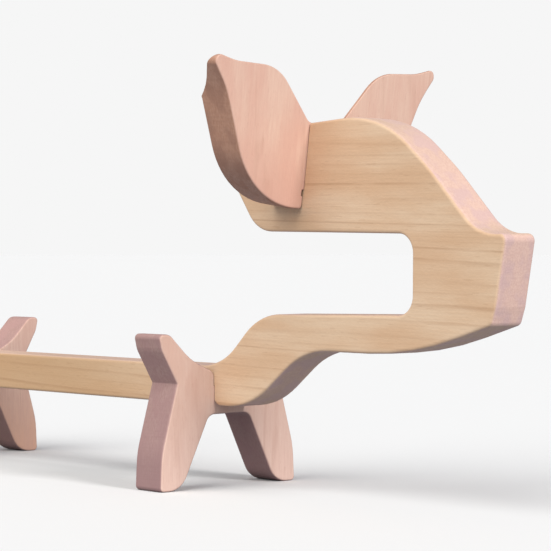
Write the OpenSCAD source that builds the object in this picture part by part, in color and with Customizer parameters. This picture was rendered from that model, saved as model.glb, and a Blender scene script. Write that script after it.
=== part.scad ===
// Slot-together wooden pig that holds a bottle: one body board, one ear plate and two leg
// plates, all sawn from the same stock and crossed with halving joints.
// Millimetres. +X is towards the snout, +Z is up, Y = 0 is the board's middle, Z = 0 the floor.

/* [Stock] */
// Thickness of the board that all four pieces are sawn from
stock = 18; // [14:0.5:22]
// Play on each side of a crossing, so that the pieces slide together by hand
lap_play = 0.15; // [0.05:0.05:0.4]
// Gap left over the board at the top of the notch in the ear plate
seat_play = 0.05; // [0.02:0.01:0.2]

/* [Bar] */
// Height of the bar's underside above the floor
bar_height = 36.4; // [30:0.1:46]
// Depth of the bar between the legs
bar_depth = 17.6; // [15:0.1:24]
// Distance between the front faces of the two leg plates
leg_spacing = 199.5; // [120:0.5:260]
// How far the tail stands out behind the rear leg plate
tail_reach = 44; // [38:0.5:60]
// Height of the tail's tip above the bar
tail_rise = 40; // [24:0.5:50]
// Width of the tail at its tip
tail_width = 13; // [10:0.5:16]
// Flat on top of the bar between the rear leg plate and the tail
tail_gap = 17; // [12:0.5:20]
// How far the heel of the tail stands in from its tip
tail_heel = 11; // [6:0.5:16]
// How much lower the tail's tip is on its front side
tail_slant = 2; // [0:0.5:6]
// Radius of the tail's heel
tail_heel_bend = 24; // [4:1:28]
// Radius of the bend from the bar up into the tail
tail_foot_bend = 12; // [4:1:14]

/* [Neck] */
// Distance from the front leg plate to the foot of the neck, on top of the bar
neck_foot = 4; // [2:0.5:12]
// Run of the neck's slope on its upper side
neck_run = 25.3; // [18:0.1:34]
// Rise from the top of the bar to the floor of the bottle slot
neck_rise = 23.4; // [18:0.1:30]
// Distance from the foot of the neck's upper side to the foot of its lower side
neck_set = 19.5; // [14:0.5:26]
// Run of the neck's slope on its lower side
neck_under_run = 34; // [28:0.5:44]
// Radius of the neck's two bends on its upper side
neck_bend = 33; // [20:1:36]
// Radius of its two bends on its lower side
neck_under_bend = 43; // [30:1:50]

/* [Head] */
// Length of the bottle slot from its lower lip to its closed end
slot_length = 92; // [70:0.5:120]
// Height of the bottle slot at its mouth
slot_mouth = 35.7; // [30:0.1:44]
// Height of the bottle slot at its closed end
slot_end = 32.5; // [28:0.1:40]
// Corner radius at the closed end of the bottle slot
slot_corner = 8; // [4:0.5:12]
// Depth of the jaw under the bottle slot
jaw_depth = 14.8; // [11:0.1:20]
// Depth of the head over the bottle slot, at the forehead
crown_depth = 47.7; // [38:0.1:60]
// How much lower the top of the head is at the back
crown_fall = 5.2; // [0:0.1:8]
// Wood in front of the bottle slot, up to the snout
snout_length = 50.5; // [42:0.5:65]
// Length of the flat on top of the snout
snout_flat = 15; // [12:0.5:20]
// How far the snout's front slopes back at its lower end
snout_rake = 5.3; // [0:0.1:8]
// How far the chin stands behind the tip of the snout
chin_setback = 7.8; // [6:0.1:14]
// Height of the chin over the underside of the jaw
chin_rise = 13.1; // [8:0.1:18]
// Height of the chin's small bevel
chin_bevel = 7.2; // [5:0.1:10]
// Radius of the jaw's long bend
jaw_bend = 170; // [60:5:200]
// Run of the forehead's slope
forehead_run = 53.5; // [44:0.5:60]
// Crown of the forehead's slope at its middle
forehead_bulge = 1.7; // [0.5:0.1:4]
// Radius of that crown
forehead_crown = 90; // [40:5:120]
// Radius of the bend from the forehead to the top of the head
forehead_bend = 53; // [20:1:60]
// Radius of the brow, where the forehead meets the snout
brow_bend = 22; // [8:1:24]
// How far the back of the head stands behind the bottle slot's lip
head_overhang = 17.3; // [10:0.1:24]
// Height of the back of the head's widest place over the slot
nape_height = 22; // [16:0.5:28]
// How far the back of the head leans forward above that
nape_lean = 3.3; // [0:0.1:8]
// Radius of the back of the head
nape_bend = 17; // [8:0.5:20]
// How far the slot's upper lip stands behind its lower one
lip_setback = 1.4; // [0:0.1:4]

/* [Ears] */
// Forward lean of the ear plate, in degrees
ear_lean = 7.8; // [0:0.1:14]
// Distance from the bottle slot's lower lip to the lower end of the ears
ear_set = 27.5; // [22:0.1:34]
// Height of the ears' lower end over the bottle slot
ear_drop = 9.1; // [5:0.1:14]
// Length of ear that hangs down below the bottom of the head's notch
ear_lap = 8; // [6:0.1:12]
// Height of the ears from their lower end to their tips, along the lean
ear_height = 63.9; // [56:0.1:76]
// Distance of the ear tips from the middle
ear_reach = 67.4; // [60:0.1:80]
// Length of the ears' lower edge, from the middle to where it turns up
ear_foot_reach = 37.6; // [30:0.1:46]
// How far the outer edge turns in below the tip, and how far below it
ear_cheek_in = 11.3; // [6:0.1:16]
ear_cheek_drop = 15.8; // [10:0.1:22]
// The dip beside the tip: how far in and how far below it
ear_dip_in = 15; // [10:0.1:20]
ear_dip_drop = 3.8; // [1:0.1:8]
// The shoulder where the upper edge turns down to the head: how far in and how far below the tip
ear_shoulder_in = 38.6; // [32:0.1:46]
ear_shoulder_drop = 4.8; // [2:0.1:10]
// Tilt of the saw along the ears' upper edges, which thins their backs, in degrees
ear_bevel = 47; // [0:1:50]
// Thickness left along those edges
ear_edge = 1.2; // [1:0.1:6]

/* [Legs] */
// Height of the front leg plate's arms above the bar
front_arm_rise = 14.5; // [10:0.1:30]
// Height of the rear leg plate's arms above the bar
rear_arm_rise = 15.9; // [10:0.1:30]
// Distance of the arms' tips from the middle
arm_reach = 40.3; // [36:0.1:50]
// Width of an arm's end
arm_width = 6.2; // [4:0.1:9]
// How far the arm's outer edge has turned in at the foot of its end
arm_taper = 1.6; // [0:0.1:4]
// Length of that end
arm_end = 7; // [4:0.5:9]
// Distance in from the waist to the foot of the arm's slope
arm_foot_in = 8; // [4:0.5:12]
// Height of the foot of the arm's slope above the bar
arm_foot_rise = 3; // [1:0.5:6]
// How far the notch's mouth stands below the top of the bar
saddle_drop = 2.5; // [0:0.5:5]
// Distance of the feet's outer corners from the middle
foot_reach = 39.4; // [35:0.1:50]
// Half the width of the plate at its waist
waist = 30; // [25:0.1:34]
// How far the waist lies below the top of the bar
waist_drop = 7.3; // [3:0.1:12]
// Wood between the arch and the bottom of the notch
arch_web = 12.7; // [10:0.1:20]
// How far the arch's corners stand out from the notch
arch_spread = 2.3; // [0:0.1:5]
// Width of a foot on the floor, with its rounds
foot_width = 12.1; // [8:0.1:16]
// Height of the knee, where the leg's outer edge bends
knee_height = 16; // [12:0.5:24]
// How far the knee stands in from the foot's outer corner
knee_in = 0.7; // [0:0.1:3]

/* [Hidden] */

// Largest turn of one straight step along a rounded corner, in degrees
arc_step = 5;

// Small rounds: sawn corners, mouths of notches and outer corners. The nicks are where the saw
// ran on past the end of the ear plate's notch, into its walls
sawn_round = 3;
lap_mouth = 3.5;
ear_lap_mouth = 1.5;
ear_heel_round = 2;
tip_round = 2.8;
corner_round = 2;
waist_round = 0.8;
nick_depth = 0.6;
nick_length = 2.4;
web_proud = 0.3;

// Bends of the leg plates: mouth of the notch, foot and end of the arm, its taper, knee, heel, arch
saddle_bend = 4;
arm_foot_bend = 30;
arm_end_bend = 5;
arm_taper_bend = 10;
knee_bend = 40;
heel_bend = 11;
arch_bend = 5;

// Bends of the ears: root, shoulder, dip, cheek and lower edge
ear_root_bend = 5;
ear_shoulder_bend = 20;
ear_dip_bend = 30;
ear_cheek_bend = 40;
ear_foot_bend = 38;

// Half of each crossing is cut from either piece; a notch's walls stand lap_wall off the middle
bar_top = bar_height + bar_depth;
lap_height = bar_height + bar_depth / 2;
lap_wall = stock / 2 + lap_play;
front_arms = bar_top + front_arm_rise;
rear_arms = bar_top + rear_arm_rise;
slot_taper = (slot_mouth - slot_end) / 2;
slot_floor = bar_top + neck_rise;
slot_roof = slot_floor + slot_mouth;
slot_lip = neck_foot + neck_run;
slot_end_at = slot_lip + slot_length;
snout_tip = slot_end_at + snout_length;
snout_top = slot_roof - slot_taper;
head_top = slot_roof + crown_depth;
jaw_under = slot_floor - jaw_depth;
chin_height = jaw_under + chin_rise;
neck_under = neck_foot + neck_set;
brow = [snout_tip - snout_flat, snout_top];
forehead = [brow.x - forehead_run, head_top];
nape = [slot_lip - head_overhang, slot_roof + nape_height];
head_back = [nape.x + nape_lean, head_top - crown_fall];
rear_face = -leg_spacing;
rear_back = rear_face - stock;
tail_tip = rear_back - tail_reach;

// The plates and the board meet around x = 0, and the whole is then centred on its length
centre_at = (snout_tip + tail_tip) / 2;

// Ear plate's place: the lower end of its front face, its up direction and its normal
ear_foot = [slot_lip + ear_set, slot_roof + ear_drop];
ear_up = [sin(ear_lean), cos(ear_lean)];
ear_out = [cos(ear_lean), -sin(ear_lean)];

pale_maple = [0.85, 0.70, 0.57];
pink_beech = [0.88, 0.72, 0.65];

// A corner is [x, y, radius]
function spot(c) = [c[0], c[1]];
function unit(v) = v / norm(v);
function nth(list, i) = list[(i + len(list)) % len(list)];

// Half the angle between the two sides that meet at corner i
function half_angle(list, i) =
    let (p = spot(nth(list, i)),
         u = unit(spot(nth(list, i - 1)) - p),
         w = unit(spot(nth(list, i + 1)) - p))
    acos(max(-1, min(1, u * w))) / 2;

// Length of side that the round of corner i takes up
function reach(list, i) = nth(list, i)[2] / tan(half_angle(list, i));

// Share of that length which the side from corner i towards corner i + s has room for
function room(list, i, s) =
    let (side = norm(spot(nth(list, i + s)) - spot(nth(list, i))),
         taken = reach(list, i) + reach(list, i + s))
    taken > side ? side / taken : 1;

// Points of the round at corner i, limited by the sides next to it
function round_at(list, i) =
    let (p = spot(nth(list, i)),
         radius = nth(list, i)[2] * min(room(list, i, -1), room(list, i, 1)),
         u = unit(spot(nth(list, i - 1)) - p),
         w = unit(spot(nth(list, i + 1)) - p),
         half = half_angle(list, i),
         turn = 180 - 2 * half,
         sweep = cross(u, w) < 0 ? turn : -turn,
         steps = max(1, ceil(turn / arc_step)),
         start = p + u * radius / tan(half),
         centre = p + unit(u + w) * radius / sin(half),
         from = atan2(start.y - centre.y, start.x - centre.x))
    radius == 0 ? [p]
    : [for (k = [0:steps]) centre + radius * [cos(from + sweep * k / steps), sin(from + sweep * k / steps)]];

function rounded(list) = [for (i = [0:len(list) - 1]) each round_at(list, i)];

// The other half of a list of corners, mirrored across the middle and in reverse order
function other_half(list) = [for (i = [len(list) - 1:-1:0]) [-list[i][0], list[i][1], list[i][2]]];

// Where the line through p along d meets the line through q along e
function meet(p, d, q, e) = p + d * cross(q - p, e) / cross(d, e);

// Notch in the bar's underside for a leg plate whose front face is at x
function leg_notch(x) = [
    [x - stock - lap_play, bar_height, lap_mouth],
    [x - stock - lap_play, lap_height, 0],
    [x + lap_play, lap_height, 0],
    [x + lap_play, bar_height, lap_mouth]
];

// Mouth and bottom of the head's notch, on the wall that stands off the ear plate's front face
function ear_wall(off) =
    let (p = ear_foot + ear_out * off,
         top = meet(p, ear_up, head_back, forehead - head_back),
         bottom = p + ear_up * ear_lap)
    [[top.x, top.y, ear_lap_mouth], [bottom.x, bottom.y, 0]];
front_wall = ear_wall(lap_play);
back_wall = ear_wall(-stock - lap_play);

// Middle of the forehead's slope, crowned square to it
slope_normal = unit([head_top - brow.y, brow.x - forehead.x]);
slope_middle = (brow + forehead) / 2 + slope_normal * forehead_bulge;

// Side view of the board, from the tail along the underside, round the head and back on top
body_corners = concat(
    [[tail_tip + tail_heel, bar_height, tail_heel_bend]],
    leg_notch(rear_face),
    leg_notch(0),
    [
        [neck_under, bar_height, neck_under_bend],
        [neck_under + neck_under_run, jaw_under, neck_under_bend],
        [slot_end_at, jaw_under, jaw_bend],
        [snout_tip - chin_setback, chin_height, sawn_round],
        [snout_tip - snout_rake, chin_height + chin_bevel, 2 * sawn_round],
        [snout_tip, snout_top, sawn_round],
        [brow.x, brow.y, brow_bend],
        [slope_middle.x, slope_middle.y, forehead_crown],
        [forehead.x, forehead.y, forehead_bend]
    ],
    front_wall,
    [back_wall[1], back_wall[0]],
    [
        [head_back.x, head_back.y, nape_bend],
        [nape.x, nape.y, nape_bend],
        [slot_lip - lip_setback, slot_roof, nape_bend],
        [slot_end_at, snout_top, slot_corner],
        [slot_end_at, slot_floor + slot_taper, slot_corner],
        [slot_lip, slot_floor, neck_bend],
        [neck_foot, bar_top, neck_bend],
        [rear_back - tail_gap, bar_top, tail_foot_bend],
        [tail_tip + tail_width, bar_top + tail_rise - tail_slant, sawn_round],
        [tail_tip, bar_top + tail_rise, sawn_round]
    ]
);

// Right half of a leg plate, seen from the front: notch, arm, waist, foot and arch
function leg_half(arms) = [
    [lap_wall, lap_height, 0],
    [lap_wall, bar_top - saddle_drop, saddle_bend],
    [waist - arm_foot_in, bar_top + arm_foot_rise, arm_foot_bend],
    [arm_reach - arm_width, arms, arm_end_bend],
    [arm_reach, arms, corner_round],
    [arm_reach - arm_taper, arms - arm_end, arm_taper_bend],
    [waist, bar_top - waist_drop, waist_round],
    [foot_reach - knee_in, knee_height, knee_bend],
    [foot_reach, 0, corner_round],
    [foot_reach - foot_width, 0, heel_bend],
    [lap_wall + arch_spread, lap_height - arch_web, arch_bend]
];

// Upper edge of the right ear in the plate's own plane, from the top of the head to the tip
ear_root = meet(ear_foot, ear_up, head_back, forehead - head_back);
root_height = norm(ear_root - ear_foot);
ear_crest = [
    [lap_wall, root_height, ear_root_bend],
    [ear_reach - ear_shoulder_in, ear_height - ear_shoulder_drop, ear_shoulder_bend],
    [ear_reach - ear_dip_in, ear_height - ear_dip_drop, ear_dip_bend],
    [ear_reach, ear_height, tip_round]
];

// Right half of the ear plate: its notch, the lower edge of the ear and its upper edge
ear_half = concat(
    [
        [lap_wall, ear_lap + seat_play, 0],
        [lap_wall, 0, ear_heel_round],
        [ear_foot_reach, 0, ear_foot_bend],
        [ear_reach - ear_cheek_in, ear_height - ear_cheek_drop, ear_cheek_bend]
    ],
    [for (i = [len(ear_crest) - 1:-1:0]) ear_crest[i]]
);

// The saw's direction along the right ear's upper edge, tilted square to the line from root to tip
ear_line = unit(spot(ear_crest[3]) - spot(ear_crest[0]));
blade = [-cos(ear_bevel), ear_line.y * sin(ear_bevel), -ear_line.x * sin(ear_bevel)];
blade_side = unit(cross([0, 0, 1], blade));
blade_up = cross(blade, blade_side);

// The same edge, run on past the tip and closed far below, as the tilted saw leaves it
saw_past = spot(ear_crest[3]) + (spot(ear_crest[3]) - spot(ear_crest[2])) * 3;
ear_kept = concat(
    [[0, -ear_height, 0], [0, root_height, 0]],
    [for (i = [0:2]) ear_crest[i]],
    [[saw_past.x, saw_past.y, 0], [saw_past.x, -ear_height, 0]]
);

// A flat outline in Y and Z, sawn through from x = 0 back to x = -depth
module plate(corners, depth) {
    translate([-depth, 0, 0])
        rotate([90, 0, 90])
            linear_extrude(height = depth)
                polygon(rounded(corners));
}

module body_board() {
    color(pale_maple)
        translate([-centre_at, 0, 0])
            rotate([90, 0, 0])
                linear_extrude(height = stock, center = true)
                    polygon(rounded(body_corners));
}

// What the tilted saw leaves of the right ear
module ear_bevel_cut() {
    on_blade = [for (c = rounded(ear_kept)) [
        [-ear_edge, c.x, c.y] * blade_side,
        [-ear_edge, c.x, c.y] * blade_up
    ]];
    multmatrix([
        [blade_side.x, blade_up.x, blade.x, 0],
        [blade_side.y, blade_up.y, blade.y, 0],
        [blade_side.z, blade_up.z, blade.z, 0]
    ])
        translate([0, 0, -2 * ear_height])
            linear_extrude(height = 4 * ear_height)
                polygon(on_blade);
}

// The web between the ears keeps its full thickness in the head, planed almost flush with the head
module ear_web() {
    planed = unit(forehead - head_back);
    slope = (planed * ear_up) / (planed * ear_out);
    rotate([90, 0, 0])
        linear_extrude(height = stock, center = true)
            polygon([
                [stock, root_height + web_proud + slope * stock],
                [-2 * stock, root_height + web_proud - slope * 2 * stock],
                [-2 * stock, -stock],
                [stock, -stock]
            ]);
}

module ear_plate() {
    color(pink_beech)
        translate([ear_foot.x - centre_at, 0, ear_foot.y])
            rotate([0, ear_lean, 0])
                difference() {
                    intersection() {
                        plate(concat(ear_half, other_half(ear_half)), stock);
                        union() {
                            ear_bevel_cut();
                            mirror([0, 1, 0])
                                ear_bevel_cut();
                            ear_web();
                        }
                    }
                    translate([-stock - 1, -lap_wall - nick_depth, ear_lap + seat_play - nick_length])
                        cube([stock + 2, 2 * (lap_wall + nick_depth), nick_length]);
                }
}

module leg_plate(face, arms) {
    half = leg_half(arms);
    color(pink_beech)
        translate([face - centre_at, 0, 0])
            plate(concat(half, other_half(half)), stock);
}

module front_leg_plate() {
    leg_plate(0, front_arms);
}

module rear_leg_plate() {
    leg_plate(rear_face, rear_arms);
}

body_board();
ear_plate();
front_leg_plate();
rear_leg_plate();
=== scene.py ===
# %% [markdown]
# # A slot-together wooden pig that holds a bottle
#
# The real thing is four sawn boards. A long side board carries the bar, the neck and the head
# with its bottle slot. An ear plate drops into a slanted notch in the head, and two leg plates
# push up under the bar. Nothing is glued: each crossing is a halving joint. This lesson takes the
# exact solids as they are, eases their edges as sandpaper would, and gives every board its wood.

import math

import bmesh
import bpy
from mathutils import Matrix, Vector, noise
from mathutils.bvhtree import BVHTree


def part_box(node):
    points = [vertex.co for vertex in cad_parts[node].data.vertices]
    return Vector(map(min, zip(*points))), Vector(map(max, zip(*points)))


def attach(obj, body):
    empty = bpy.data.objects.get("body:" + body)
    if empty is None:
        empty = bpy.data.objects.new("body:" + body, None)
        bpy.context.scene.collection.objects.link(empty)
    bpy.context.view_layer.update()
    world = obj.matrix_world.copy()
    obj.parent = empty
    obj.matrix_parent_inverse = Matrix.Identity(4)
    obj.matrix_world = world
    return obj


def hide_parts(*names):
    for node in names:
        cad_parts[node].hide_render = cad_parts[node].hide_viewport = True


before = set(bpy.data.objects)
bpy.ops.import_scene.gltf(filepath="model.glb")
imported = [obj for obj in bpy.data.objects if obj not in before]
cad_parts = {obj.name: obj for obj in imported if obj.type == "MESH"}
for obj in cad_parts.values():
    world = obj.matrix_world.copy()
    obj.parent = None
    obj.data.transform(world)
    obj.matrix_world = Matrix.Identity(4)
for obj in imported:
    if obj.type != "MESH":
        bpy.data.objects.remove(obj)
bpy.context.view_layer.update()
MM = 0.001

# %% [markdown]
# ## Colours and nodes
#
# A colour given here is an sRGB hex value, but the shader wants light in linear amounts, so one
# function turns the first into the second. A second small function adds a node, sets it, links it
# and hands on what comes out of it. Every material below is written with just these two.

# %% Hex colour to linear colour
def linear(hex_colour):
    channels = [int(hex_colour[i:i + 2], 16) / 255 for i in (0, 2, 4)]
    return [c / 12.92 if c <= 0.04045 else ((c + 0.055) / 1.055) ** 2.4 for c in channels] + [1.0]


print("the middle hex grey, 808080, is", round(linear("808080")[0], 3), "in linear light")


# %% Add a node with its settings and links
def add(tree, kind, inputs=None, give=None, **settings):
    node = tree.nodes.new(kind)
    for name, value in settings.items():
        setattr(node, name, value)
    for name, value in (inputs or {}).items():
        if isinstance(value, bpy.types.NodeSocket):
            tree.links.new(value, node.inputs[name])
        else:
            node.inputs[name].default_value = value
    if give:
        return node.outputs[give]
    return next((socket for socket in node.outputs if socket.enabled), None)


# %% [markdown]
# ## The camera
#
# The pig is seen from its right and front, from about the height of its bottle slot, with a long lens
# that keeps the boards' edges almost parallel. The camera's place is measured from the front leg
# plate's front face, which is the plane that everything else is set out from.

# %% Place the camera
front_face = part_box("front_leg_plate")[1].x
CAMERA_OFF = Vector((723.3, -626.3, 104.75)) * MM
CAMERA_PAN = 47.89
CAMERA_DIP = 0.66
SENSOR = 36.0
LENS = 140.84
NEAREST_SEEN = 0.01
FARTHEST_SEEN = 100.0

camera = bpy.data.objects.new("camera", bpy.data.cameras.new("camera"))
camera.location = Vector((front_face, 0, 0)) + CAMERA_OFF
camera.rotation_euler = (math.radians(90 - CAMERA_DIP), 0, math.radians(CAMERA_PAN))
camera.data.sensor_width = SENSOR
camera.data.lens = LENS
camera.data.clip_start = NEAREST_SEEN
camera.data.clip_end = FARTHEST_SEEN
bpy.context.scene.collection.objects.link(camera)
bpy.context.scene.camera = camera
print("camera stands", round((camera.location - Vector((front_face, 0, 0))).length, 3), "m away")

# %% [markdown]
# ## The paper sweep
#
# The pig stands on white paper in a bright room. A sheet that curves up behind it could be modelled,
# but from this low one flat square that runs far past the view looks the same, and it serves from
# every side. Real paper is matt, so it has no gloss at all.

# %% The paper floor
FLOOR_REACH = 40.0
PAPER_ROUGHNESS = 0.9
paper = bpy.data.materials.new("white_paper")
paper.use_nodes = True
tree = paper.node_tree
shader = tree.nodes["Principled BSDF"]
shader.inputs["Roughness"].default_value = PAPER_ROUGHNESS
shader.inputs["Specular IOR Level"].default_value = 0.0
# Seen directly the paper is white, and to bounced light it is grey, as on a table whose edge is
# just out of view, so the undersides keep their shadow
looked_at = add(tree, "ShaderNodeLightPath", give="Is Camera Ray")
tone = add(tree, "ShaderNodeMix", {"Factor": looked_at, "A": linear("989CA3"), "B": linear("EBF0F4")},
           data_type="RGBA")
tree.links.new(tone, shader.inputs["Base Color"])

floor_mesh = bpy.data.meshes.new("floor")
floor_mesh.from_pydata([(-FLOOR_REACH, -FLOOR_REACH, 0), (FLOOR_REACH, -FLOOR_REACH, 0),
                        (FLOOR_REACH, FLOOR_REACH, 0), (-FLOOR_REACH, FLOOR_REACH, 0)], [], [(0, 1, 2, 3)])
floor = bpy.data.objects.new("floor", floor_mesh)
floor_mesh.materials.append(paper)
bpy.context.scene.collection.objects.link(floor)
print("the paper reaches", FLOOR_REACH, "m each way")

# %% [markdown]
# ## The lights
#
# One light comes from the pig's front and not far above it, so the faces towards the snout are
# brightest. A second, about as strong but much softer, fills its right side from higher up, and an
# even white room lifts the rest. Area lamps would fade across the floor. Suns give the same light
# all over it, which keeps the paper one tone out to the horizon.

# %% Two soft suns and a white room
KEY_TURN = 1.0
KEY_HEIGHT = 27.0
KEY_STRENGTH = 2.05
KEY_SPREAD = 16.0
FILL_TURN = -88.0
FILL_HEIGHT = 42.0
FILL_STRENGTH = 2.15
FILL_SPREAD = 60.0
ROOM_STRENGTH = 0.38


def sun(name, turn, height, strength, spread, colour):
    lamp = bpy.data.lights.new(name, "SUN")
    lamp.energy = strength
    lamp.angle = math.radians(spread)
    lamp.color = linear(colour)[:3]
    holder = bpy.data.objects.new(name, lamp)
    across = math.cos(math.radians(height))
    towards = Vector((across * math.cos(math.radians(turn)), across * math.sin(math.radians(turn)),
                      math.sin(math.radians(height))))
    holder.rotation_euler = towards.to_track_quat("Z", "Y").to_euler()
    bpy.context.scene.collection.objects.link(holder)
    print(name, "shines from", [round(v, 2) for v in towards])


sun("key_light", KEY_TURN, KEY_HEIGHT, KEY_STRENGTH, KEY_SPREAD, "FFF7F2")
sun("fill_light", FILL_TURN, FILL_HEIGHT, FILL_STRENGTH, FILL_SPREAD, "FFFAF2")

room = bpy.data.worlds.new("white_room")
room.use_nodes = True
tree = room.node_tree
tree.nodes.clear()
looked_at = add(tree, "ShaderNodeLightPath", give="Is Camera Ray")
seen = add(tree, "ShaderNodeBackground", {"Color": linear("F6F6F6"), "Strength": 1.0})
lit = add(tree, "ShaderNodeBackground", {"Color": linear("FBF8FA"), "Strength": ROOM_STRENGTH})
which = add(tree, "ShaderNodeMixShader", {0: looked_at, 1: lit, 2: seen})
add(tree, "ShaderNodeOutputWorld", {"Surface": which})
bpy.context.scene.world = room
bpy.context.scene.view_settings.view_transform = "Standard"

# %% [markdown]
# ## Easing the sawn edges
#
# A bandsaw leaves every edge sharp, and the maker then rubs them over with fine paper, which
# leaves a round of about a millimetre that catches the light. A bevel modifier could round them,
# but it wants one width, and here the width changes along the edge. Hand sanding is uneven, the
# edges inside a crossing never saw the paper, and thin wood has room for less. So each flat face
# is set in by its own width at every corner of its outline, and a few rings of faces are laid
# round the old edge between the flat and the wall.

# %% The solids, welded into closed surfaces
WELD = 0.001 * MM


def surface_of(node):
    solid = bmesh.new()
    solid.from_mesh(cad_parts[node].data)
    bmesh.ops.remove_doubles(solid, verts=solid.verts, dist=WELD)
    return solid


surfaces = {node: BVHTree.FromBMesh(surface_of(node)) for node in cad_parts}
print("surfaces:", ", ".join(sorted(surfaces)))

# %% How much paper a corner of an outline has had
BOARD_EASE = 1.6 * MM
PLATE_EASE = 1.2 * MM
TIGHT_EASE = 0.4 * MM
CROSSING_GAP = 0.3 * MM
CROSSING_END = 2.5 * MM
SHARE_OF_WOOD = 0.36
UNEVEN_SHARE = 0.25
UNEVEN_LENGTH = 22 * MM


def ease_at(node, place, wall_depth, ease):
    gap = min(surfaces[other].find_nearest(place)[3] for other in surfaces if other != node)
    open_share = min(max((gap - CROSSING_GAP) / (CROSSING_END - CROSSING_GAP), 0), 1)
    by_hand = 1 + UNEVEN_SHARE * noise.noise(place / UNEVEN_LENGTH)
    width = (TIGHT_EASE + (ease - TIGHT_EASE) * open_share) * by_hand
    return min(width, SHARE_OF_WOOD * wall_depth)


# %% Lay the round between a flat face and its walls
ROUND_STEPS = 5
SHARPEST_MITRE = 0.4


def ease_flat(solid, flat, node, ease):
    corners = [loop.vert for loop in flat.loops]
    places = [corner.co.copy() for corner in corners]
    facing = flat.normal.copy()
    rings = [corners]
    set_in, set_down = [], []
    for i, corner in enumerate(corners):
        here, before, after = places[i], places[i - 1], places[(i + 1) % len(places)]
        inward_before = facing.cross(here - before).normalized()
        inward_after = facing.cross(after - here).normalized()
        mitre = (inward_before + inward_after) / max(1 + inward_before.dot(inward_after), SHARPEST_MITRE)
        walls = [edge.other_vert(corner).co - here for edge in corner.link_edges
                 if flat not in edge.link_faces]
        down = min(walls, key=lambda wall: wall.length)
        width = ease_at(node, here, down.length, ease)
        set_in.append(here + mitre * width)
        set_down.append(here + down.normalized() * width)
    for step in range(1, ROUND_STEPS + 1):
        t = step / ROUND_STEPS
        rings.append([solid.verts.new(low * (1 - t) ** 2 + edge * 2 * t * (1 - t) + high * t ** 2)
                      for low, edge, high in zip(set_down, places, set_in)])
    solid.faces.remove(flat)
    for corner, low in zip(corners, set_down):
        corner.co = low
    for outer, inner in zip(rings, rings[1:]):
        for i in range(len(outer)):
            solid.faces.new((outer[i - 1], outer[i], inner[i], inner[i - 1]))
    solid.faces.new(rings[-1])


# %% [markdown]
# ## From solid to finished board
#
# The solid's flat sides arrive cut up into triangles, so they are first joined back into whole
# faces. The two largest are the board's flats, and their outlines get the round. Plain smooth
# shading would make the flats look puffed, and flat shading would show every small face of a
# curve. Weighted normals let the broad faces lead, so the flats stay flat right up to the rounds.

# %% Make a piece from its solid
SHARP = math.radians(28)
FLAT = math.radians(0.3)
BROAD_FACES_LEAD = 100


def sawn_piece(name, node, finish, ease):
    solid = surface_of(node)
    bmesh.ops.dissolve_limit(solid, angle_limit=FLAT, verts=solid.verts, edges=solid.edges)
    for flat in sorted(solid.faces, key=lambda face: face.calc_area())[-2:]:
        ease_flat(solid, flat, node, ease)
    solid.normal_update()
    for face in solid.faces:
        face.smooth = True
    for edge in solid.edges:
        edge.smooth = edge.calc_face_angle() < SHARP
    mesh = bpy.data.meshes.new(name)
    solid.to_mesh(mesh)
    solid.free()
    mesh.materials.append(finish)
    piece = bpy.data.objects.new(name, mesh)
    bpy.context.scene.collection.objects.link(piece)
    shading = piece.modifiers.new("flats_lead", "WEIGHTED_NORMAL")
    shading.mode = "FACE_AREA"
    shading.weight = BROAD_FACES_LEAD
    shading.keep_sharp = True
    print(name, "has", len(mesh.polygons), "faces")
    return piece


# %% [markdown]
# ## Wood is solid, and so is its pattern
#
# Growth layers are nested shells round the tree's heart, and each face of a piece shows its own cut
# through them. A flat pattern wrapped round the board would be wrong at every corner. So the
# pattern is worked out in all three directions at once, in millimetres, in a space whose first
# axis runs with the grain and whose heart line lies well off the piece. On the flat sides the
# layers then run as long thin lines, and on end grain they turn into arcs by themselves.

# %% Where a point of the piece lay in the tree
def place_in_tree(tree, wood):
    spot = add(tree, "ShaderNodeTexCoord", give="Object")
    metres = add(tree, "ShaderNodeSeparateXYZ", {0: spot}).node.outputs
    turned = add(tree, "ShaderNodeCombineXYZ", {"X": metres[wood["along"]], "Y": metres[wood["across"]],
                                                "Z": metres[wood["up"]]})
    tilt = [math.radians(angle) for angle in wood["tilt"]]
    tilted = add(tree, "ShaderNodeVectorRotate", {"Vector": turned, "Rotation": tilt},
                 rotation_type="EULER_XYZ")
    return add(tree, "ShaderNodeVectorMath", {0: tilted, 1: [1 / MM] * 3, 2: wood["cut_from"]},
               operation="MULTIPLY_ADD")


# %% [markdown]
# ## What varies inside the wood
#
# Several things vary from place to place, each at its own size: how the layers wander, how close
# they crowd, where a line breaks, the fibres, the pores, short flecks, broad warm and pale
# areas, the blotches of cut ends, and the ribs a saw leaves. Each is one stretched noise. Its three
# sizes are millimetres along, across and up the grain, and the last two numbers say at what level
# it starts to show and where it is full.

# %% Stretched noises, one for each
PATTERN_STEP = 7.3


def patterns_in(tree, place, wood):
    found = {}
    for turn, (label, (size, detail, low, high)) in enumerate(wood["patterns"].items()):
        spot = add(tree, "ShaderNodeVectorMath", {0: place, 1: [1 / length for length in size],
                                                  2: [PATTERN_STEP * turn] * 3}, operation="MULTIPLY_ADD")
        noisy = add(tree, "ShaderNodeTexNoise", {"Vector": spot, "Scale": 1.0, "Detail": detail})
        found[label] = add(tree, "ShaderNodeMapRange", {"Value": noisy, "From Min": low, "From Max": high},
                           interpolation_type="SMOOTHSTEP")
    return found


# %% [markdown]
# ## Growth lines
#
# A tree lays down pale wood in spring and darker wood late in the year, then stops at once for
# winter. So each layer darkens slowly outwards and ends in a sharp edge. The distance from the
# heart, divided by the width of a layer, gives the year as its whole part and the time of year as
# the rest. Some years are strong and some hardly show, and a line may fade out for a while.

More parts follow.
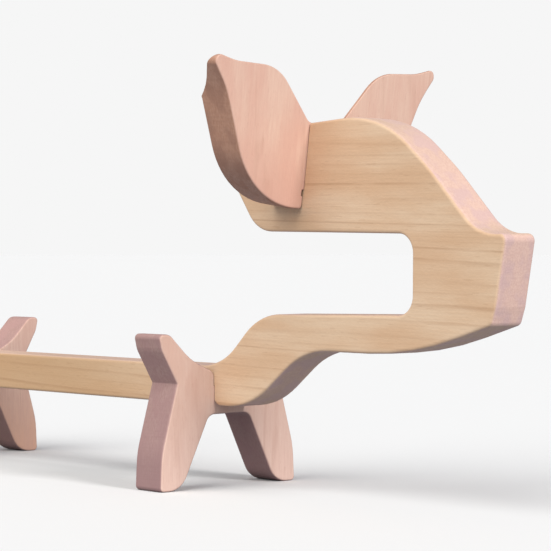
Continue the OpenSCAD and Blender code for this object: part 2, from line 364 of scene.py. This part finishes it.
# %% The late wood of every layer
DARKENS_OVER = 2.4
STOPS_OVER = 0.7
WEAK_YEAR, STRONG_YEAR = 0.2, 0.9


def growth_lines(tree, place, found, wood):
    off_heart = add(tree, "ShaderNodeVectorMath", {0: place, 1: (0, 1, 1)}, operation="MULTIPLY")
    layer = add(tree, "ShaderNodeVectorMath", {0: off_heart}, operation="LENGTH")
    for label in ("wander", "crowding"):
        layer = add(tree, "ShaderNodeMath", {0: found[label], 1: wood[label], 2: layer},
                    operation="MULTIPLY_ADD")
    layer = add(tree, "ShaderNodeMath", {0: layer, 1: wood["layer"]}, operation="DIVIDE")
    season = add(tree, "ShaderNodeMath", {0: layer}, operation="FRACT")
    year = add(tree, "ShaderNodeMath", {0: layer}, operation="FLOOR")
    luck = add(tree, "ShaderNodeTexWhiteNoise", {"W": year}, noise_dimensions="1D", give="Value")
    late = wood["late_share"]
    line = 1.0
    for value, low, high, first, last in (
            (season, 1 - late * DARKENS_OVER, 1 - late, 0, 1),
            (season, 1 - late * STOPS_OVER, 1, 1, 0),
            (luck, WEAK_YEAR, STRONG_YEAR, wood["faintest_year"], 1),
            (found["broken"], 0, 1, wood["faintest_line"], 1)):
        share = add(tree, "ShaderNodeMapRange", {
            "Value": value, "From Min": low, "From Max": high, "To Min": first, "To Max": last},
            interpolation_type="SMOOTHSTEP")
        line = add(tree, "ShaderNodeMath", {0: line, 1: share}, operation="MULTIPLY")
    return line


# %% [markdown]
# ## How each face was cut
#
# A face across the grain is end grain, whose open pores look darker and pinker. A face off the
# board's flat was left by the bandsaw and only lightly rubbed. Between a sawn wall and the planed
# flat lies the eased round, whose tone is painted light: it sets how bright the highlight on the
# round looks. The way the surface faces tells them apart, so the finish follows the shape
# wherever it goes.

# %% End grain, sawn walls and eased rounds
END_FROM, END_FULL = 0.30, 0.95
SAWN_FROM, SAWN_FULL = 0.97, 0.45
EASED_PEAK = 4.0


def cuts_of(tree, wood):
    normal = add(tree, "ShaderNodeTexCoord", give="Normal")
    facing = add(tree, "ShaderNodeSeparateXYZ", {0: normal}).node.outputs
    found = {}
    for label, axis, start, full in (
            ("end", "along", END_FROM, END_FULL), ("sawn", "flat", SAWN_FROM, SAWN_FULL)):
        size = add(tree, "ShaderNodeMath", {0: facing[wood[axis]]}, operation="ABSOLUTE")
        found[label] = add(tree, "ShaderNodeMapRange", {"Value": size, "From Min": start, "From Max": full},
                           interpolation_type="SMOOTHSTEP")
    # The band between flat and wall is the eased round, where a painted highlight tone is laid
    unsawn = add(tree, "ShaderNodeMath", {0: 1.0, 1: found["sawn"]}, operation="SUBTRACT")
    half_way = add(tree, "ShaderNodeMath", {0: unsawn, 1: found["sawn"]}, operation="MULTIPLY")
    found["eased_highlight"] = add(tree, "ShaderNodeMath", {0: half_way, 1: EASED_PEAK}, operation="MULTIPLY")
    return found


# %% [markdown]
# ## Laying one tone over another
#
# The colour is built like a glaze, from the palest wood up. Each coat has a pattern that says
# where it lies, a strength, and a tone, which may itself be a finished mix of coats.

# %% Coats of colour
def lay_coats(tree, colour, coats):
    for share, strength, coat in coats:
        share = add(tree, "ShaderNodeMath", {0: share, 1: strength}, operation="MULTIPLY")
        colour = add(tree, "ShaderNodeMix", {"Factor": share, "A": colour, "B": coat}, data_type="RGBA")
    return colour


# %% [markdown]
# ## The colours of one timber
#
# A planed flat shows pale wood under warm clouds, fibres, growth lines, flecks and pores. A sawn
# wall is rougher and has a tone of its own, specked with open pores and blotched, and so has end
# grain. A pattern per face would break at the eased round, so the three tones are mixed by how the
# surface faces. Flat and wall both change tone slowly towards one end of the piece. On the maple's
# flat that is deeper wood; on its walls and on the plates it is painted light and shade, lighter
# where the head keeps the key light off, darker under the ears and near the floor.

# %% The colour of a timber
def timber_colour(tree, place, found, cuts, wood):
    tone = {label: linear(hex_colour) for label, hex_colour in wood["tones"].items()}
    show = wood["show"]
    # How far towards one end of the piece a point lies: deeper wood on the maple's flat, painted light and
    # shade on its walls and on the plates
    deep_and_painted_light_share = add(tree, "ShaderNodeMapRange", {"Value": add(tree, "ShaderNodeSeparateXYZ", {0: place}),
                                                 "From Min": wood["deep_and_painted_light"][0], "From Max": wood["deep_and_painted_light"][1]},
                    interpolation_type="SMOOTHSTEP")
    planed = lay_coats(tree, tone["pale"], [
        (found["cloud"], 1.0, tone["warm"]), (deep_and_painted_light_share, show["deep_and_painted_light"], tone["deep_and_painted_light"]),
        (found["fibre"], show["fibre"], tone["fibre"]),
        (growth_lines(tree, place, found, wood), show["line"], tone["late"]),
        (found["fleck"], show["fleck"], tone["late"]), (found["pores"], show["pores"], tone["late"])])
    # Towards one end the sawn walls take a tone of painted light and shade
    sawn = lay_coats(tree, tone["sawn"], [
        (found["pores"], show["open_pores"], tone["sawn_dark"]),
        (found["mottle"], show["mottle"], tone["mottle"]), (deep_and_painted_light_share, show["deep_and_painted_light"], tone["sawn_painted_light"])])
    end = lay_coats(tree, tone["end"], [
        (found["pores"], show["open_pores"], tone["end_dark"]),
        (found["mottle"], show["mottle"], tone["mottle"])])
    # Last comes the eased round's tone, a painted highlight
    return lay_coats(tree, planed, [(cuts["sawn"], show["sawn"], sawn), (cuts["end"], show["end"], end),
                                    (cuts["eased_highlight"], show["eased_highlight"], tone["eased_highlight"])])


# %% [markdown]
# ## Relief and gloss
#
# Bare wood bends light like most solids do, with an index near 1.5, but its torn fibres scatter
# nearly all of it. Sanding leaves the fibres standing a few hundredths of a millimetre proud, and a
# saw leaves faint ribs across a wall. Both are felt by the light only, as bumps.

# %% The material of a timber
WOOD_IOR = 1.5
BARE_WOOD_GLOSS = 0.3
FIBRE_RELIEF_MM = 0.02
PORE_RELIEF_MM = 0.02
SAW_RIB_MM = 0.03


def timber(name, wood):
    material = bpy.data.materials.new(name)
    material.use_nodes = True
    tree = material.node_tree
    shader = tree.nodes["Principled BSDF"]
    place = place_in_tree(tree, wood)
    found = patterns_in(tree, place, wood)
    cuts = cuts_of(tree, wood)
    tree.links.new(timber_colour(tree, place, found, cuts, wood), shader.inputs["Base Color"])
    # Sanded bare wood is dull, a little less so where the fibres lie tight
    rough = add(tree, "ShaderNodeMapRange", {"Value": found["fibre"], "To Min": wood["smoothest"],
                                             "To Max": wood["roughest"]})
    tree.links.new(rough, shader.inputs["Roughness"])
    shader.inputs["IOR"].default_value = WOOD_IOR
    shader.inputs["Specular IOR Level"].default_value = BARE_WOOD_GLOSS
    relief = add(tree, "ShaderNodeMath", {0: found["ribs"], 1: cuts["sawn"]}, operation="MULTIPLY")
    relief = add(tree, "ShaderNodeMath", {0: relief, 1: SAW_RIB_MM}, operation="MULTIPLY")
    for label, height in (("fibre", FIBRE_RELIEF_MM), ("pores", PORE_RELIEF_MM)):
        relief = add(tree, "ShaderNodeMath", {0: found[label], 1: height, 2: relief},
                     operation="MULTIPLY_ADD")
    bump = add(tree, "ShaderNodeBump", {"Height": relief, "Distance": MM, "Strength": 1.0})
    tree.links.new(bump, shader.inputs["Normal"])
    print(name, "has", len(tree.nodes), "nodes and", len(found), "patterns")
    return material


# %% [markdown]
# ## The side board: maple
#
# The board is sanded maple with its grain along the pig. To the eye maple is pale and even, warm
# cream to light tan, with thin brown growth lines four or five millimetres apart, very fine fibres
# and a few short flecks. The bar end is a deeper tan than the head, as wood from nearer the heart
# is. Its fibres are a tenth of a millimetre across and are drawn about five times coarser, so that
# they show.

# %% Maple
MAPLE = {
    "along": "X", "across": "Y", "up": "Z", "flat": "Y", "tilt": (0.0, -1.0, 0.0),
    "cut_from": (0.0, 70.0, 150.0), "layer": 4.6, "late_share": 0.14, "wander": 5.0, "crowding": 12.0,
    "faintest_line": 0.45, "faintest_year": 0.35,
    "patterns": {
        "wander": ((260, 40, 34), 1, 0.2, 0.8), "crowding": ((900, 60, 22), 1, 0.2, 0.8),
        "broken": ((34, 8, 5), 2, 0.36, 0.62), "fibre": ((20, 1.2, 0.8), 3, 0.3, 0.7),
        "pores": ((1.6, 0.8, 0.8), 2, 0.3, 0.7), "fleck": ((7, 0.9, 0.8), 1, 0.66, 0.74),
        "cloud": ((70, 26, 16), 3, 0.34, 0.66), "mottle": ((11, 9, 9), 2, 0.42, 0.60),
        "ribs": ((1.1, 60, 1.1), 1, 0.2, 0.8)},
    "deep_and_painted_light": (40.0, -70.0),
    # The sawn_painted_light tone, lighter than the sawn wall, is painted light on the bar's sawn top, which
    # the head and neck keep from the key light
    "tones": {
        "pale": "EDD3B6", "warm": "E1BE9C", "deep_and_painted_light": "CFAA80", "fibre": "DBB896", "late": "B08765",
        "sawn": "D5BBAA", "sawn_dark": "C8AA9D", "sawn_painted_light": "EBCBB8", "end": "E9CABE", "end_dark": "D8B4AB",
        "mottle": "CFB3B8", "eased_highlight": "D8BA9A"},
    "show": {"deep_and_painted_light": 0.75, "fibre": 0.26, "line": 0.37, "fleck": 0.18, "pores": 0.05, "open_pores": 0.6,
             "sawn": 0.88, "end": 0.92, "mottle": 0.5, "eased_highlight": 0.4},
    "smoothest": 0.52, "roughest": 0.70,
}
maple = timber("maple_board", MAPLE)

# %% [markdown]
# ## The leg plates and the ear plate: beech
#
# The three plates are pinker than the board, as steamed beech is, with their grain upright. Beech
# shows short dark flecks and fine straight streaks in place of clear growth lines. Its sawn walls
# are left rough and have a dull mauve tone of their own. On the front legs the flat is painted
# lighter towards the feet, as painted light where the head keeps the key light off, and the walls
# darker there, as painted shade near the floor.

# %% Beech for the legs
BEECH = {
    "along": "Z", "across": "X", "up": "Y", "flat": "X", "tilt": (0.0, 0.0, 2.0),
    "cut_from": (0.0, 160.0, 30.0), "layer": 5.0, "late_share": 0.14, "wander": 7.0, "crowding": 10.0,
    "faintest_line": 0.1, "faintest_year": 0.1,
    "patterns": {
        "wander": ((90, 30, 20), 1, 0.2, 0.8), "crowding": ((600, 40, 14), 1, 0.2, 0.8),
        "broken": ((20, 6, 4), 2, 0.36, 0.62), "fibre": ((14, 1.1, 0.9), 3, 0.3, 0.7),
        "pores": ((2.2, 0.8, 0.8), 2, 0.3, 0.7), "fleck": ((3.5, 0.7, 0.7), 1, 0.66, 0.74),
        "cloud": ((40, 20, 12), 3, 0.34, 0.66), "mottle": ((12, 8, 8), 2, 0.42, 0.60),
        "ribs": ((1.1, 60, 1.1), 1, 0.2, 0.8)},
    "deep_and_painted_light": (48.0, -10.0),
    "tones": {
        # The deep tone, lighter than the pale, is painted light on the lower legs; sawn_painted_light is
        # painted shade near the floor
        "pale": "E0C5B8", "warm": "D9BAAC", "deep_and_painted_light": "F7D9CC", "fibre": "D7B1A4", "late": "C49A8A",
        "sawn": "B29491", "sawn_dark": "A48280", "sawn_painted_light": "A78587", "end": "B49794", "end_dark": "A2827F",
        "mottle": "A88586", "eased_highlight": "CDB0A6"},
    "show": {"deep_and_painted_light": 0.8, "fibre": 0.28, "line": 0.22, "fleck": 0.2, "pores": 0.06, "open_pores": 0.7,
             "sawn": 0.95, "end": 0.9, "mottle": 0.5, "eased_highlight": 0.15},
    "smoothest": 0.55, "roughest": 0.72,
}
beech = timber("beech_legs", BEECH)

# %% [markdown]
# ## A browner piece of beech for the ears
#
# The ear plate is cut from another piece of the same wood. Its flat is a warmer peach and its sawn
# wall is brown where the legs' are mauve. Both are painted darker towards the bottom of the ears,
# the wall darkest under them, as painted shade.

# %% Beech for the ears
EAR_BEECH = dict(
    BEECH, tilt=(4.0, 0.0, -5.0), cut_from=(0.0, 150.0, 210.0), deep_and_painted_light=(160.0, 134.0),
    # The deep tones are painted shade low on the ears, and sawn_painted_light is darkest under them
    tones=dict(BEECH["tones"], pale="EECEBC", warm="E8C0AF", deep_and_painted_light="E0B6A6", fibre="DEB2A2", late="C79B88",
               sawn="C69B84", sawn_dark="B68670", sawn_painted_light="6A4E48", mottle="A87E6C", end="BE9C8E",
               end_dark="A88476"),
    show=dict(BEECH["show"], deep_and_painted_light=0.85, mottle=0.6))
ear_beech = timber("beech_ears", EAR_BEECH)

# %% [markdown]
# ## A warmer piece for the rear legs
#
# The rear plate came from elsewhere in the board again. Its feet are warmer and browner than the
# front ones, and its sawn walls are paler.

# %% Beech for the rear legs
REAR_BEECH = dict(
    BEECH, tilt=(0.0, 0.0, -3.0), cut_from=(0.0, 130.0, 90.0),
    tones=dict(BEECH["tones"], pale="E8CCBF", warm="E1C0B2", deep_and_painted_light="DDAC90", sawn="C9A69F",
               sawn_dark="B8928C", sawn_painted_light="A27F7B", mottle="BE9A98", eased_highlight="D6B5AA"),
    show=dict(BEECH["show"], deep_and_painted_light=0.7, fibre=0.5, line=0.35))
rear_beech = timber("beech_rear_legs", REAR_BEECH)

# %% [markdown]
# ## The pieces
#
# Each piece takes its exact solid, eases its two flat faces and wears its own wood. It rides on its
# CAD body, so that it slides out of its crossing as the real one does, and stands for its node.

# %% The four pieces
PIECES = [
    ("side_board", "body_board", "board", "board_maple", maple, BOARD_EASE),
    ("ears", "ear_plate", "ears", "plate_beech", ear_beech, PLATE_EASE),
    ("front_legs", "front_leg_plate", "front_legs", "plate_beech", beech, PLATE_EASE),
    ("rear_legs", "rear_leg_plate", "rear_legs", "plate_beech", rear_beech, PLATE_EASE),
]
for name, node, body, slot, finish, ease in PIECES:
    piece = sawn_piece(name, node, finish, ease)
    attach(piece, body)
    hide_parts(node)
